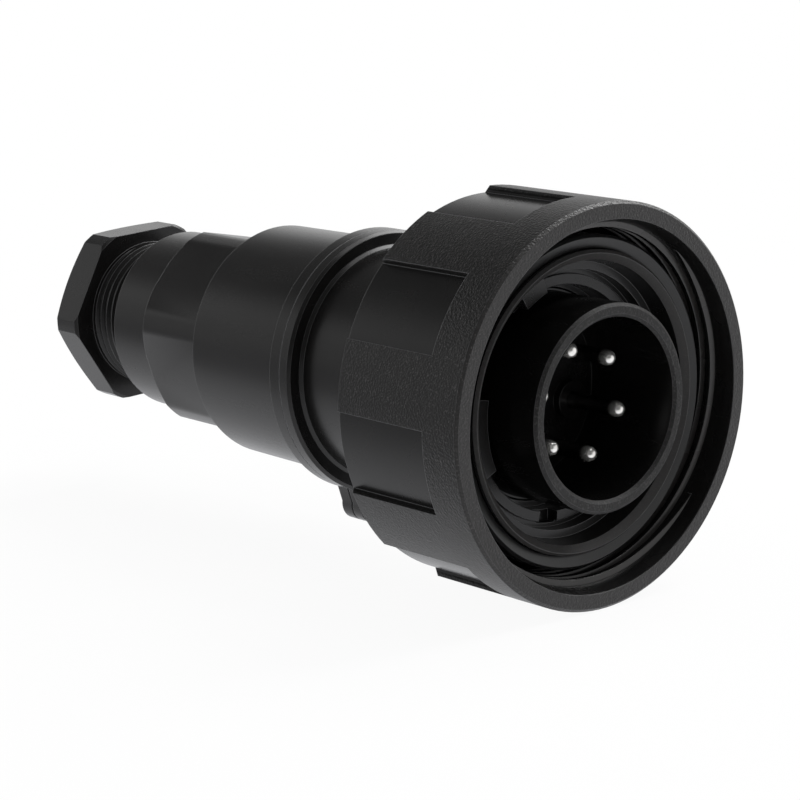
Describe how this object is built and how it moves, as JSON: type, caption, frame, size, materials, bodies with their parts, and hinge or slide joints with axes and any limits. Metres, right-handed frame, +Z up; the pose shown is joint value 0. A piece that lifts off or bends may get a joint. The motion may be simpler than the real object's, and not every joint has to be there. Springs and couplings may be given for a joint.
{
  "type": "waterproof circular cable connector",
  "caption": "Waterproof circular cable connector: ribbed coupling ring round a shrouded pin insert, two-part round body with spanner hex, and a screwed cable gland.",
  "frame": {"origin": "on the connector's axis, in the plane of the coupling ring's front rim at rest, inside the length of the mating shroud", "axes": "+X along the axis towards the mating end, +Z up as in the picture, +Y completing a right-handed frame"},
  "size_m": [0.0761, 0.039, 0.039],
  "materials": {
    "ring_plastic": "black moulded plastic with a fine spark-eroded grain on the pads and the rim",
    "shell_plastic": "smooth satin black moulded plastic",
    "insert_plastic": "satin black moulded plastic with a finely grained rim",
    "nut_plastic": "satin black moulded plastic",
    "seal_rubber": "soft black rubber",
    "contact_metal": "bright silver plating over brass",
    "screw_steel": "bright plated steel"
  },
  "bodies": {
    "shell": {"front_body": "shell_plastic", "face_seal": "seal_rubber", "insert_carrier": "insert_plastic", "contact_pin_1": "contact_metal", "contact_pin_2": "contact_metal", "contact_pin_3": "contact_metal", "contact_pin_4": "contact_metal", "contact_pin_5": "contact_metal", "contact_pin_6": "contact_metal", "contact_retainer": "insert_plastic", "terminal_screws": "screw_steel", "body_seal": "seal_rubber", "rear_body": "shell_plastic", "gland_cage": "shell_plastic", "gland_bush": "seal_rubber"},
    "ring_washer": {"ring_retainer": "shell_plastic"},
    "ring": {"coupling_ring": "ring_plastic"},
    "gland_washer": {"thrust_washer": "shell_plastic"},
    "nut": {"gland_nut": "nut_plastic"}
  },
  "joints": [
    {"name": "ring_slide", "type": "slide", "parent": "shell", "child": "ring_washer", "axis": [1, 0, 0], "range_m": [-0.0133, 0.0042]},
    {"name": "ring_spin", "type": "hinge", "parent": "ring_washer", "child": "ring", "pos_m": [-0.014, 0, 0], "axis": [1, 0, 0], "continuous": true},
    {"name": "gland_travel", "type": "slide", "parent": "shell", "child": "gland_washer", "axis": [1, 0, 0], "range_m": [-0.004, 0.0035]},
    {"name": "gland_nut_turn", "type": "hinge", "parent": "gland_washer", "child": "nut", "pos_m": [-0.068, 0, 0], "axis": [1, 0, 0], "range_deg": [-1420, 1240]}
  ],
  "couplings": [
    {"joint": "gland_travel", "follows": "gland_nut_turn", "m_per_rad": 0.00015915}
  ]
}
